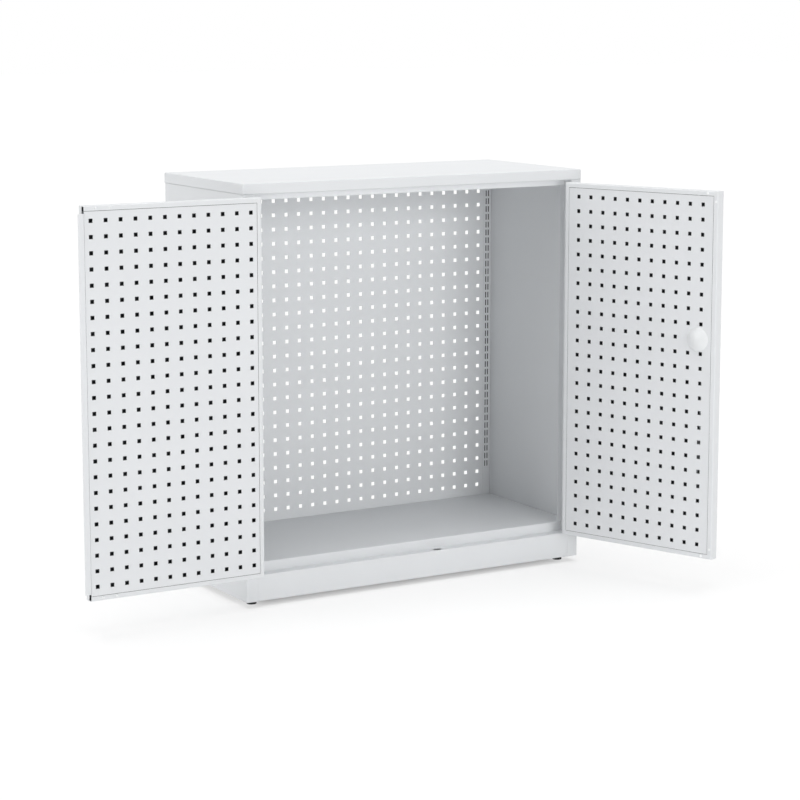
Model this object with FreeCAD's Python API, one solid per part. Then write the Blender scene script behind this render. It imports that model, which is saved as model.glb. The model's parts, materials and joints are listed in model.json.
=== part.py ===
"""Workshop cabinet: folded sheet-steel carcass, two perforated doors, a perforated back panel,
a turn-handle lock with two rods, and levelling feet.

Millimetres, +Z up. The origin is on the floor under the middle of the carcass, +Y points to the back.
The doors are modelled shut and then turned about their hinge pins to the open pose of the photograph.
"""
import FreeCAD, Part
import math
import os

V = FreeCAD.Vector

# Carcass
cabinet_width = 1000.0
cabinet_depth = 450.0
carcass_height = 1045.0
foot_height = 15.0
sheet = 1.5
bend_radius = 2.5
rim_height = 27.0
rim_return = 20.0
header_depth = 45.0
rear_overhang = 4.0
post_width = 31.5
stop_lip = 13.5
rear_flange = 24.0
top_flange = 20.0
plinth_height = 67.0
plinth_return = 25.0
ledge_depth = 55.0
shelf_lip = 25.0
rail_height = 16.5
rail_flange = 30.0
rail_return = 15.0
base_flange = 22.0
seam = 0.3

# Perforation and shelf slots
hole_size = 10.0
hole_pitch = 38.0
hole_margin = 15.0
back_first_row = 30.5
back_stand = 10.0
upright_width = 23.7
slot_width = 3.0
slot_length = 16.0
slot_pitch = 22.0
slot_spacing = 7.5
slot_wall_distance = 12.45
slot_end_low = 89.0
slot_end_high = 64.0

# Doors
door_thickness = 27.0
stop_gap = 3.0
door_gap_side = 1.2
door_gap_bottom = 2.5
door_gap_top = 5.0
meeting_gap = 2.6
meeting_line_x = -1.0
door_lip = 11.7
right_free_lip = 12.5
panel_gap = 1.0
panel_edge_gap = 0.5
strip_thickness = 1.2
strip_overlap = 14.5
strip_leg = 11.0
strip_stand = 1.2
strip_short = 18.0
left_open_deg = 180.0
right_open_deg = 110.0

# Bumper dots on the door lips
bumper_radius = 3.5
frame_bumper_height = 2.5
strip_bumper_height = 0.9
frame_bumper_edge = 31.0
frame_bumper_second_edge = 68.0
strip_bumper_end = 26.0

# Lift-off hinges
knuckle_radius = 5.0
knuckle_clearance = 0.5
knuckle_length = 30.0
knuckle_gap = 0.4
hinge_end_distance = 90.0
hinge_axis_offset = 0.3
pin_radius = 3.0
pin_hold_clearance = 0.02
pin_run_clearance = 0.05
leaf_thickness = 1.5
leaf_reach = 25.0
leaf_trim = 1.0
leaf_slot_clearance = 0.2

# Lock on the right door
lock_backset = 53.0
lock_height = 565.5
escutcheon_radius = 27.0
escutcheon_thickness = 5.0
neck_radius = 11.0
neck_length = 6.5
neck_hole_clearance = 0.2
nut_thickness = 4.0
nut_across_flats = 32.0
spindle_radius = 6.0
spindle_clearance = 0.05
spindle_square = 8.0
handle_gap = 0.3
hub_radius = 15.0
hub_length = 32.0
grip_length = 84.0
grip_width = 15.0
grip_depth = 14.0
grip_round = 3.0
plug_radius = 8.5
plug_depth = 18.0
plug_clearance = 0.1
key_slot_width = 2.0
key_slot_length = 9.0
key_slot_depth = 12.0
cam_thickness = 3.0
cam_gap = 0.5
cam_pin_circle = 14.0
cam_pin_radius = 2.5
cam_rim = 1.5
cam_turn_deg = 90.0
cam_fit_clearance = 0.05
eye_thickness = 3.0
eye_clearance = 0.5
eye_wall = 2.2
rod_radius = 4.0
rod_free_edge = 64.0
rod_end_inset = 2.0
rod_guide_clearance = 0.4
rod_hole_clearance = 1.0
guide_end_distance = 45.0
guide_height = 14.0
guide_width = 24.0
guide_wall = 4.0
keeper_width = 24.0
keeper_depth = 14.0
cover_radius = 31.0
cover_height = 14.0
cover_wall = 2.0
lock_window = 40.0

# Levelling feet and their brackets
foot_radius = 12.5
foot_chamfer = 2.0
foot_stop_gap = 0.3
foot_side_distance = 35.0
foot_end_distance = 44.0
stud_radius = 5.0
stud_length = 45.0
stud_seat = 5.0
stud_clearance = 0.1
bracket_thickness = 3.0
bracket_width = 58.0
bracket_depth = 50.0
bracket_leg = 25.0
bracket_hole_clearance = 0.5
foot_nut_height = 8.0
foot_nut_across_flats = 17.0

# Bolts between the top cover and the side panels
bolt_radius = 3.0
bolt_head_radius = 5.0
bolt_head_height = 4.0
bolt_length = 12.0
bolt_hole_clearance = 0.3
bolt_nut_height = 5.0
bolt_nut_across_flats = 10.0
bolt_wall_distance = 12.0
bolt_span = 150.0

# Planes that follow from the sizes above
half_width = cabinet_width / 2
front = -cabinet_depth / 2
rear = cabinet_depth / 2
wall_rear = rear - rear_overhang
base = foot_height
top = foot_height + carcass_height
rim = top - rim_height
plinth_top = base + plinth_height
shelf_top = plinth_top + shelf_lip
rail_bottom = rim - rail_height
jamb = half_width - post_width
door_inner = front + door_thickness
stop = door_inner + stop_gap
back_front = wall_rear - sheet - back_stand
door_edge = jamb - door_gap_side
door_bottom = plinth_top + door_gap_bottom
door_top = rim - door_gap_top
right_width = door_edge - (meeting_line_x + meeting_gap / 2)
left_width = door_edge + (meeting_line_x - meeting_gap / 2)
hinge_x = jamb - hinge_axis_offset
hinge_y = front - knuckle_radius - knuckle_clearance
skin_inner = front + sheet
panel_outer = door_inner - sheet

# The lock's stack, from the outside inwards, along the door's depth
lock_x = door_edge - right_width + lock_backset
lock_z = door_bottom + lock_height
escutcheon_front = front - escutcheon_thickness
hub_back = escutcheon_front - handle_gap
hub_front = hub_back - hub_length
neck_end = front + neck_length
cam_front = neck_end + cam_gap
cam_back = cam_front + cam_thickness
eye_front = cam_back + cam_gap
rod_y = eye_front + eye_thickness / 2
cam_radius = cam_pin_circle + cam_pin_radius + cam_rim
half_turn = math.radians(cam_turn_deg / 2)
pin_near = cam_pin_circle * math.cos(half_turn)
pin_rise = cam_pin_circle * math.sin(half_turn)
rod_offset = (pin_near + cam_pin_circle) / 2
rod_travel = 2 * pin_rise
rod_end_x = door_edge - right_width + rod_free_edge


def box(x0, x1, y0, y1, z0, z1):
    """A block between two corners."""
    return Part.makeBox(x1 - x0, y1 - y0, z1 - z0, V(x0, y0, z0))


def rod_along(radius, start, end):
    """A round bar between two points."""
    return Part.makeCylinder(radius, (end - start).Length, start, end - start)


def hexagon(across_flats, height, centre, direction):
    """A hexagonal prism that starts at centre."""
    corner = across_flats / math.sqrt(3)
    points = [V(corner * math.cos(math.radians(60 * i)), corner * math.sin(math.radians(60 * i)), 0)
              for i in range(7)]
    prism = Part.Face(Part.makePolygon(points)).extrude(V(0, 0, height))
    prism.Placement = FreeCAD.Placement(centre, FreeCAD.Rotation(V(0, 0, 1), direction))
    return prism


def mirrored(shape):
    """The left-hand twin of a right-hand piece."""
    return shape.mirror(V(0, 0, 0), V(1, 0, 0))


def round_edges(shape, radius, chosen):
    """Rounds the straight edges for which chosen(first end, last end) is true."""
    edges = [e for e in shape.Edges if chosen(e.Vertexes[0].Point, e.Vertexes[-1].Point)]
    return shape.makeFillet(radius, edges)


def both_at(a, b, **place):
    """True when both ends of an edge lie at the given coordinates."""
    return all(abs(getattr(p, axis) - value) < 1e-6 for p in (a, b) for axis, value in place.items())


def prism_up(points, z0, z1):
    """A sheet profile in plan, drawn up from z0 to z1."""
    corners = [V(x, y, z0) for x, y in points]
    return Part.Face(Part.makePolygon(corners + corners[:1])).extrude(V(0, 0, z1 - z0))


def prism_across(points, half_length):
    """A sheet profile seen from the side, drawn across the cabinet."""
    corners = [V(-half_length, y, z) for y, z in points]
    return Part.Face(Part.makePolygon(corners + corners[:1])).extrude(V(2 * half_length, 0, 0))


def rectangle(x0, x1, z0, z1, y):
    """A closed upright rectangle at depth y."""
    corners = [V(x0, y, z0), V(x1, y, z0), V(x1, y, z1), V(x0, y, z1)]
    return Part.makePolygon(corners + corners[:1])


def centred_row(low, high):
    """Hole centres at the pitch, centred between two edges and clear of both by the margin."""
    count = int((high - low - 2 * hole_margin) / hole_pitch) + 1
    first = (low + high - (count - 1) * hole_pitch) / 2
    return [first + i * hole_pitch for i in range(count)]


def perforated_sheet(x0, x1, z0, z1, y, centres):
    """A flat sheet whose outer face lies at y, with square holes."""
    reach = hole_size / 2
    outline = rectangle(x0, x1, z0, z1, y)
    holes = [rectangle(x - reach, x + reach, z - reach, z + reach, y) for x, z in centres]
    return Part.makeFace([outline] + holes, "Part::FaceMakerBullseye").extrude(V(0, sheet, 0))


def side_panel():
    """Right side: outer wall, front post with door jamb and stop, rear flange and top flange.

    Beside the plinth the jamb's fold is welded full and ground flush, so it is square there.
    """
    profile = [
        (jamb, front), (half_width, front), (half_width, wall_rear),
        (half_width - rear_flange, wall_rear), (half_width - rear_flange, wall_rear - sheet),
        (half_width - sheet, wall_rear - sheet), (half_width - sheet, front + sheet),
        (jamb + sheet, front + sheet), (jamb + sheet, stop + sheet), (jamb, stop + sheet)]
    panel = prism_up(profile, base, rim)
    bends = [(jamb, front), (half_width, front), (half_width, wall_rear)]
    panel = round_edges(panel, bend_radius, lambda a, b: any(both_at(a, b, x=x, y=y) for x, y in bends))
    stop_flange = box(jamb - stop_lip, jamb + sheet, stop, stop + sheet, shelf_top, rail_bottom)
    flange = box(half_width - top_flange, half_width - sheet, stop + sheet, wall_rear - sheet,
                 rim - sheet, rim)
    weld = box(jamb, jamb + bend_radius, front, front + bend_radius, base, plinth_top)
    panel = panel.fuse([stop_flange, flange, weld])
    cuts = [leaf_slot(jamb + sheet, 1, z) for z in hinge_heights().values()]
    cuts += [rod_along(bolt_radius + bolt_hole_clearance, V(x, y, rim - 2 * sheet), V(x, y, rim + sheet))
             for x, y in bolt_places() if x > 0]
    return panel.cut(cuts).removeSplitter()


def top_cover():
    """Folded lid: top plate, rim all round, and returns that rest on the side panels."""
    cover = box(-half_width, half_width, front, rear, rim, top)
    cover = cover.makeFillet(bend_radius, cover.Edges)
    inside = box(-half_width + sheet, half_width - sheet, front + sheet, rear - sheet,
                 rim + sheet, top - sheet)
    window = box(-half_width + rim_return, half_width - rim_return, front + header_depth, rear - rim_return,
                 rim - sheet, rim + 2 * sheet)
    keeper = keeper_slot(upper_rod_end(), rim - sheet, rim + 2 * sheet)
    holes = [rod_along(bolt_radius + bolt_hole_clearance, V(x, y, rim - sheet), V(x, y, rim + 2 * sheet))
             for x, y in bolt_places()]
    return cover.cut([inside, window, keeper] + holes)


def back_panel():
    """Perforated back with side flanges that stand it off the rear flanges."""
    edge = half_width - sheet - seam - upright_width - seam
    columns = centred_row(-edge, edge)
    rows = []
    z = shelf_top + back_first_row
    while z + hole_margin <= rim:
        rows.append(z)
        z += hole_pitch
    centres = [(x, z) for x in columns for z in rows]
    plate = perforated_sheet(-edge, edge, plinth_top, rim - seam, back_front, centres)
    flange = box(edge - sheet, edge, back_front + sheet, wall_rear - sheet, plinth_top, rim - seam)
    return plate.fuse([flange, mirrored(flange)])


def slotted_upright():
    """Right shelf upright: a channel with paired bracket slots."""
    x1 = half_width - sheet - seam
    x0 = x1 - upright_width
    z0 = shelf_top
    z1 = rim - sheet - seam
    reach = slot_length / 2
    slot_x = [x1 - slot_wall_distance + i * slot_spacing / 2 for i in (-1, 1)]
    holes = []
    z = z0 + slot_end_low
    while z <= z1 - slot_end_high:
        holes += [rectangle(x - slot_width / 2, x + slot_width / 2, z - reach, z + reach, back_front)
                  for x in slot_x]
        z += slot_pitch
    face = Part.makeFace([rectangle(x0, x1, z0, z1, back_front)] + holes, "Part::FaceMakerBullseye")
    legs = [box(x, x + sheet, back_front + sheet, wall_rear - sheet, z0, z1) for x in (x0, x1 - sheet)]
    return face.extrude(V(0, sheet, 0)).fuse(legs)


def bottom_shelf():
    """Tray-shaped floor of the cabinet, with a lip on all four sides, notched behind the posts."""
    side = half_width - sheet - seam
    lip_end = jamb - seam
    shelf_rear = back_front - seam
    plate = box(-lip_end, lip_end, stop, shelf_rear, plinth_top, shelf_top)
    plate = round_edges(plate, bend_radius, lambda a, b: both_at(a, b, y=stop, z=shelf_top))
    wings = box(-side, side, stop + sheet + seam, shelf_rear, plinth_top, shelf_top)
    inside = box(-side + sheet, side - sheet, stop + sheet, shelf_rear - sheet,
                 plinth_top - sheet, shelf_top - sheet)
    return plate.fuse(wings).cut(inside).removeSplitter()


def top_rail():
    """Fascia behind the door tops, hung from the lid's front return."""
    profile = [
        (stop, rail_bottom), (stop + rail_return, rail_bottom), (stop + rail_return, rail_bottom + sheet),
        (stop + sheet, rail_bottom + sheet), (stop + sheet, rim - sheet), (stop + rail_flange, rim - sheet),
        (stop + rail_flange, rim), (stop, rim)]
    rail = prism_across(profile, jamb - seam)
    return round_edges(rail, bend_radius, lambda a, b: both_at(a, b, y=stop, z=rail_bottom))


def plinth_front():
    """Kick plate between the posts. Its top return is the ledge that carries the shelf."""
    profile = [
        (front, base), (front + plinth_return, base), (front + plinth_return, base + sheet),
        (front + sheet, base + sheet), (front + sheet, plinth_top - sheet),
        (front + ledge_depth, plinth_top - sheet), (front + ledge_depth, plinth_top), (front, plinth_top)]
    plinth = prism_across(profile, jamb - seam)
    bends = (base, plinth_top)
    plinth = round_edges(plinth, bend_radius, lambda a, b: any(both_at(a, b, y=front, z=z) for z in bends))
    return plinth.cut(keeper_slot(lower_rod_end(), plinth_top - 2 * sheet, plinth_top + sheet))


def rear_base_rail():
    """Angle across the back that carries the shelf's rear lip and the back panel."""
    face = wall_rear - sheet
    profile = [
        (face, base), (face, plinth_top), (face - base_flange, plinth_top),
        (face - base_flange, plinth_top - sheet), (face - sheet, plinth_top - sheet), (face - sheet, base)]
    return prism_across(profile, half_width - sheet - seam)


def hinge_heights():
    """The lowest point of each hinge, by name."""
    length = 2 * knuckle_length + knuckle_gap
    low = door_bottom + hinge_end_distance
    high = door_top - hinge_end_distance - length
    return {"lower": low, "middle": (low + high) / 2, "upper": high}


def leaf_slot(x, side, z):
    """The cut that lets a hinge leaf through the front sheet, from x towards side."""
    far = x + side * (leaf_thickness + leaf_slot_clearance)
    return box(min(x, far), max(x, far), front - sheet, front + 2 * sheet,
               z + leaf_trim - leaf_slot_clearance, z + knuckle_length - leaf_trim + leaf_slot_clearance)


def knuckle(z, leaf_x, bore):
    """One half of a right-hand hinge: a barrel with a leaf that reaches in behind the front sheet."""
    barrel = Part.makeCylinder(knuckle_radius, knuckle_length, V(hinge_x, hinge_y, z))
    leaf = box(leaf_x, leaf_x + leaf_thickness, hinge_y, hinge_y + leaf_reach,
               z + leaf_trim, z + knuckle_length - leaf_trim)
    hole = Part.makeCylinder(bore, knuckle_length, V(hinge_x, hinge_y, z))
    return barrel.fuse(leaf).cut(hole)


def frame_knuckle(z):
    """The half that is fixed to the post. It stands under the door's half."""
    return knuckle(z, jamb + sheet, pin_radius + pin_hold_clearance)


def door_knuckle(z):
    """The half that is fixed to the door and turns on the pin."""
    return knuckle(z + knuckle_length + knuckle_gap, door_edge - sheet - leaf_thickness,
                   pin_radius + pin_run_clearance)


def hinge_pin(z):
    """Pin through both halves, held in the frame's half."""
    return Part.makeCylinder(pin_radius, 2 * knuckle_length + knuckle_gap, V(hinge_x, hinge_y, z))


def door_skin(width, free_lip):
    """Outer shell of a door on the right-hand hinge. With no free lip, that edge takes a meeting strip."""
    x0 = door_edge - width
    skin = box(x0, door_edge, front, door_inner, door_bottom, door_top)
    lipless = free_lip == 0
    skin = round_edges(skin, bend_radius, lambda a, b: not (lipless and both_at(a, b, x=x0, y=door_inner))
                       and (both_at(a, b, y=front) or both_at(a, b, y=door_inner)))
    inside = box(x0 + sheet, door_edge - sheet, skin_inner, panel_outer,
                 door_bottom + sheet, door_top - sheet)
    window = box(x0 + (sheet if lipless else free_lip), door_edge - door_lip,
                 panel_outer, door_inner + sheet, door_bottom + door_lip, door_top - door_lip)
    cuts = [inside, window]
    cuts += [leaf_slot(door_edge - sheet, -1, z + knuckle_length + knuckle_gap)
             for z in hinge_heights().values()]
    if lipless:
        cuts += [box(x0 - sheet, x0 + sheet, door_inner - strip_leg, door_inner + sheet, z0, z1)
                 for z0, z1 in ((door_bottom + sheet, door_bottom + strip_short),
                                (door_top - strip_short, door_top - sheet))]
    return skin.cut(cuts)


def door_panel(width, free_edge, lock):
    """Perforated inner panel with two side returns that seat on the skin."""
    x0 = door_edge - width + free_edge
    x1 = door_edge - door_lip - panel_gap
    z0 = door_bottom + door_lip + panel_gap
    z1 = door_top - door_lip - panel_gap
    centres = [(x, z) for x in centred_row(x0, x1) for z in centred_row(z0, z1)]
    if lock:
        clear = cover_radius + hole_size / 2
        centres = [(x, z) for x, z in centres if math.hypot(x - lock_x, z - lock_z) > clear]
    plate = perforated_sheet(x0, x1, z0, z1, panel_outer, centres)
    returns = [box(x, x + sheet, skin_inner, panel_outer, z0, z1) for x in (x0, x1 - sheet)]
    panel = plate.fuse(returns)
    if lock:
        reach = lock_window / 2
        panel = panel.cut(box(lock_x - reach, lock_x + reach, panel_outer - sheet, door_inner + sheet,
                              lock_z - reach, lock_z + reach))
    return panel


def left_door_skin():
    """Shell of the left door, drawn on the right-hand hinge."""
    return door_skin(left_width, 0)


def right_door_skin():
    """Shell of the right door, with holes for the lock's neck and for both rods."""
    neck = Part.makeCylinder(neck_radius + neck_hole_clearance, 3 * sheet,
                             V(lock_x, front - sheet, lock_z), V(0, 1, 0))
    holes = [neck]
    for eye, end in ((lower_eye(), lower_rod_end()), (upper_eye(), upper_rod_end())):
        outwards = (end - eye).normalize() * door_lip
        holes.append(rod_along(rod_radius + rod_hole_clearance, end - outwards, end + outwards))
    return door_skin(right_width, right_free_lip).cut(holes)


def meeting_strip():
    """Angle on the left door's free edge that laps behind the right door, drawn on the right-hand hinge."""
    edge = door_edge - left_width
    near = door_inner + strip_stand
    far = near + strip_thickness
    profile = [
        (edge, door_inner - strip_leg), (edge - strip_thickness, door_inner - strip_leg),
        (edge - strip_thickness, near), (edge - strip_overlap, near),
        (edge - strip_overlap, far), (edge, far)]
    return prism_up(profile, door_bottom + strip_short, door_top - strip_short)


def bumper(x, z, height):
    """A soft dot on a door's inner face."""
    return Part.makeCylinder(bumper_radius, height, V(x, door_inner, z), V(0, 1, 0))


def left_bumpers():
    """Dots on the left door's top and bottom lips, drawn on the right-hand hinge."""
    edge = door_edge - left_width
    return Part.makeCompound([bumper(edge + away, z, frame_bumper_height)
                              for away in (frame_bumper_edge, frame_bumper_second_edge)
                              for z in (door_bottom + door_lip / 2, door_top - door_lip / 2)])


def right_bumpers():
    """Dots by the right door's free corners, for the frame and for the meeting strip."""
    edge = door_edge - right_width
    dots = [bumper(edge + frame_bumper_edge, z, frame_bumper_height)
            for z in (door_bottom + door_lip / 2, door_top - door_lip / 2)]
    dots += [bumper(edge + right_free_lip / 2, z, strip_bumper_height)
             for z in (door_bottom + strip_bumper_end, door_top - strip_bumper_end)]
    return Part.makeCompound(dots)


def lower_eye():
    """Middle of the lower rod's eye with the lock open. The free edge is towards -X."""
    return V(lock_x - rod_offset, rod_y, lock_z + pin_rise)


def upper_eye():
    """Middle of the upper rod's eye with the lock open."""
    return V(lock_x + rod_offset, rod_y, lock_z - pin_rise)


def lower_rod_end():
    """Where the lower rod stops inside the door's bottom edge with the lock open."""
    return V(rod_end_x, rod_y, door_bottom + rod_end_inset)


def upper_rod_end():
    """Where the upper rod stops inside the door's top edge with the lock open."""
    return V(rod_end_x, rod_y, door_top - rod_end_inset)


def lock_rod(eye, end):
    """A rod with a flat slotted eye round its cam pin, drawn downwards and then turned into place."""
    length = (end - eye).Length
    lean = abs(end.x - eye.x) / length * rod_travel
    slot_half = (cam_pin_circle - pin_near) / 2 + lean + cam_pin_radius + eye_clearance
    slot_rise = cam_pin_radius + 2 * eye_clearance
    eye_half = slot_half + eye_wall
    flat_length = pin_rise + cam_radius + rod_radius
    flat = box(-eye_half, eye_half, -eye_thickness / 2, eye_thickness / 2,
               -flat_length - rod_radius, slot_rise + eye_wall)
    bar = Part.makeCylinder(rod_radius, length - flat_length, V(0, 0, -flat_length), V(0, 0, -1))
    slot = box(-slot_half, slot_half, -eye_thickness, eye_thickness, -slot_rise, slot_rise)
    rod = flat.fuse(bar).cut(slot)
    rod.Placement = FreeCAD.Placement(eye, FreeCAD.Rotation(V(0, 0, -1), end - eye))
    return rod


def rod_guide(eye, end):
    """A block on the skin, bored along a rod, near the rod's end."""
    inwards = (eye - end).normalize()
    centre = end + inwards * guide_end_distance
    block = box(centre.x - guide_width / 2, centre.x + guide_width / 2,
                skin_inner, rod_y + rod_radius + guide_wall,
                centre.z - guide_height / 2, centre.z + guide_height / 2)
    reach = inwards * guide_height
    return block.cut(rod_along(rod_radius + rod_guide_clearance, centre - reach, centre + reach))


def keeper_slot(end, z0, z1):
    """The cut that takes a rod's end when the right door is shut."""
    return box(end.x - keeper_width / 2, end.x + keeper_width / 2,
               end.y - keeper_depth / 2, end.y + keeper_depth / 2, z0, z1)


def escutcheon():
    """Round plate outside the door with a neck through the skin, bored for the spindle."""
    plate = Part.makeCylinder(escutcheon_radius, escutcheon_thickness,
                              V(lock_x, front, lock_z), V(0, -1, 0))
    plate = round_edges(plate, escutcheon_thickness / 2, lambda a, b: both_at(a, b, y=escutcheon_front))
    neck = Part.makeCylinder(neck_radius, neck_length, V(lock_x, front, lock_z), V(0, 1, 0))
    bore = Part.makeCylinder(spindle_radius + spindle_clearance, escutcheon_thickness + neck_length,
                             V(lock_x, escutcheon_front, lock_z), V(0, 1, 0))
    return plate.fuse(neck).cut(bore)


def escutcheon_nut():
    """Hexagon nut that clamps the escutcheon's neck behind the skin."""
    nut = hexagon(nut_across_flats, nut_thickness, V(lock_x, skin_inner, lock_z), V(0, 1, 0))
    return nut.cut(Part.makeCylinder(neck_radius + spindle_clearance, nut_thickness,
                                     V(lock_x, skin_inner, lock_z), V(0, 1, 0)))


def handle_grip():
    """Turn handle: a hub with an upright bar across it, bored for the lock plug and for the spindle."""
    hub = Part.makeCylinder(hub_radius, hub_length, V(lock_x, hub_back, lock_z), V(0, -1, 0))
    bar = box(lock_x - grip_width / 2, lock_x + grip_width / 2, hub_front, hub_front + grip_depth,
              lock_z - grip_length / 2, lock_z + grip_length / 2)
    bar = bar.makeFillet(grip_round, bar.Edges)
    plug = Part.makeCylinder(plug_radius + plug_clearance, plug_depth,
                             V(lock_x, hub_front, lock_z), V(0, 1, 0))
    socket = spindle_square_bar(hub_back - spindle_square, hub_back, cam_fit_clearance)
    return hub.fuse(bar).cut([plug, socket])


def spindle_square_bar(y0, y1, clearance):
    """The spindle's square, or the hole for it."""
    reach = spindle_square / 2 + clearance
    return box(lock_x - reach, lock_x + reach, y0, y1, lock_z - reach, lock_z + reach)


def handle_spindle():
    """Round shaft through the escutcheon, square where it holds the handle and the cam."""
    shaft = Part.makeCylinder(spindle_radius, cam_front - hub_back, V(lock_x, hub_back, lock_z), V(0, 1, 0))
    squares = [spindle_square_bar(hub_back - spindle_square, hub_back, 0),
               spindle_square_bar(cam_front, cam_back, 0)]
    return shaft.fuse(squares)


def lock_cam():
    """Disc on the spindle with one pin for each rod."""
    disc = Part.makeCylinder(cam_radius, cam_thickness, V(lock_x, cam_front, lock_z), V(0, 1, 0))
    pins = [Part.makeCylinder(cam_pin_radius, cam_gap + eye_thickness + cam_gap,
                              V(lock_x - side * pin_near, cam_back, lock_z + side * pin_rise), V(0, 1, 0))
            for side in (1, -1)]
    return disc.fuse(pins).cut(spindle_square_bar(cam_front, cam_back, cam_fit_clearance))


def lock_plug():
    """Key cylinder in the handle."""
    plug = Part.makeCylinder(plug_radius, plug_depth, V(lock_x, hub_front, lock_z), V(0, 1, 0))
    slot = box(lock_x - key_slot_width / 2, lock_x + key_slot_width / 2,
               hub_front, hub_front + key_slot_depth,
               lock_z - key_slot_length / 2, lock_z + key_slot_length / 2)
    return plug.cut(slot)


def dome(radius, height):
    """A solid spherical cap on the right door's inner face."""
    ball = (radius ** 2 + height ** 2) / (2 * height)
    sphere = Part.makeSphere(ball, V(lock_x, door_inner + height - ball, lock_z))
    reach = 2 * ball
    above = box(lock_x - reach, lock_x + reach, door_inner, door_inner + reach, lock_z - reach, lock_z + reach)
    return sphere.common(above)


def lock_cover():
    """Domed cover over the lock on the inner panel."""
    return dome(cover_radius, cover_height).cut(dome(cover_radius - cover_wall, cover_height - cover_wall))


def foot_places():
    """Centre of each foot, by corner."""
    x = half_width - foot_side_distance
    places = {}
    for end, y in (("front", front + foot_end_distance), ("rear", rear - foot_end_distance)):
        for side, sign in (("left", -1), ("right", 1)):
            places[f"{end}_{side}"] = (sign * x, y)
    return places


def foot_pad(x, y):
    """Round foot under a corner."""
    height = foot_height - foot_stop_gap
    pad = Part.makeCylinder(foot_radius, height, V(x, y, 0))
    pad = round_edges(pad, foot_chamfer, lambda a, b: both_at(a, b, z=height))
    return pad.cut(Part.makeCylinder(stud_radius, height, V(x, y, stud_seat)))


def foot_stud(x, y):
    """Threaded stud in a foot, drawn plain."""
    return Part.makeCylinder(stud_radius, stud_length, V(x, y, stud_seat))


def foot_bracket(x, y):
    """Angle in a bottom corner that holds a foot's nut, drawn for the right-hand side."""
    wall = half_width - sheet
    if y < 0:
        y0 = stop + sheet + seam
        y1 = y0 + bracket_depth
    else:
        y1 = wall_rear - 2 * sheet - seam
        y0 = y1 - bracket_depth
    plate = box(wall - bracket_width, wall, y0, y1, base, base + bracket_thickness)
    leg = box(wall - bracket_thickness, wall, y0, y1, base + bracket_thickness, base + bracket_leg)
    hole = Part.makeCylinder(stud_radius + bracket_hole_clearance, bracket_thickness, V(abs(x), y, base))
    bracket = plate.fuse(leg).cut(hole)
    return bracket if x > 0 else mirrored(bracket)


def foot_nut(x, y):
    """Weld nut on a foot bracket."""
    seat = V(x, y, base + bracket_thickness)
    nut = hexagon(foot_nut_across_flats, foot_nut_height, seat, V(0, 0, 1))
    return nut.cut(Part.makeCylinder(stud_radius + stud_clearance, foot_nut_height, seat))


def bolt_places():
    """Centre of each bolt under the lid's side returns."""
    x = half_width - bolt_wall_distance
    return [(sign * x, y) for sign in (-1, 1) for y in (-bolt_span, 0, bolt_span)]


def cover_bolt(x, y):
    """Bolt up through a side panel's top flange and the lid's return."""
    shank = Part.makeCylinder(bolt_radius, bolt_length, V(x, y, rim - sheet))
    head = Part.makeCylinder(bolt_head_radius, bolt_head_height, V(x, y, rim - sheet), V(0, 0, -1))
    return head.fuse(shank)


def cover_nut(x, y):
    """Nut on a lid bolt."""
    seat = V(x, y, rim + sheet)
    nut = hexagon(bolt_nut_across_flats, bolt_nut_height, seat, V(0, 0, 1))
    return nut.cut(Part.makeCylinder(bolt_radius + pin_run_clearance, bolt_nut_height, seat))


def left_at_rest(shape):
    """A left-door piece drawn on the right-hand hinge, mirrored and opened."""
    opened = mirrored(shape)
    opened.rotate(V(-hinge_x, hinge_y, 0), V(0, 0, 1), -left_open_deg)
    return opened


def right_at_rest(shape):
    """A right-door piece, opened."""
    opened = shape.copy()
    opened.rotate(V(hinge_x, hinge_y, 0), V(0, 0, 1), right_open_deg)
    return opened


def carcass_nodes():
    """Everything that stands still."""
    side = side_panel()
    upright = slotted_upright()
    nodes = {
        "top_cover": top_cover(),
        "left_side_panel": mirrored(side),
        "right_side_panel": side,
        "back_panel": back_panel(),
        "left_slotted_upright": mirrored(upright),
        "right_slotted_upright": upright,
        "bottom_shelf": bottom_shelf(),
        "top_rail": top_rail(),
        "plinth_front": plinth_front(),
        "rear_base_rail": rear_base_rail(),
        "foot_brackets": Part.makeCompound([foot_bracket(x, y) for x, y in foot_places().values()]),
        "foot_nuts": Part.makeCompound([foot_nut(x, y) for x, y in foot_places().values()]),
        "top_cover_bolts": Part.makeCompound([cover_bolt(x, y) for x, y in bolt_places()]),
        "top_cover_nuts": Part.makeCompound([cover_nut(x, y) for x, y in bolt_places()]),
    }
    for name, z in hinge_heights().items():
        nodes[f"right_{name}_frame_knuckle"] = frame_knuckle(z)
        nodes[f"left_{name}_frame_knuckle"] = mirrored(frame_knuckle(z))
        nodes[f"right_{name}_hinge_pin"] = hinge_pin(z)
        nodes[f"left_{name}_hinge_pin"] = mirrored(hinge_pin(z))
    return nodes


def left_door_nodes():
    """The left door, shut, on the right-hand hinge."""
    nodes = {
        "left_door_skin": left_door_skin(),
        "left_door_panel": door_panel(left_width, sheet + panel_edge_gap, lock=False),
        "meeting_strip": meeting_strip(),
        "left_door_bumpers": left_bumpers(),
    }
    for name, z in hinge_heights().items():
        nodes[f"left_{name}_door_knuckle"] = door_knuckle(z)
    return nodes


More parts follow.
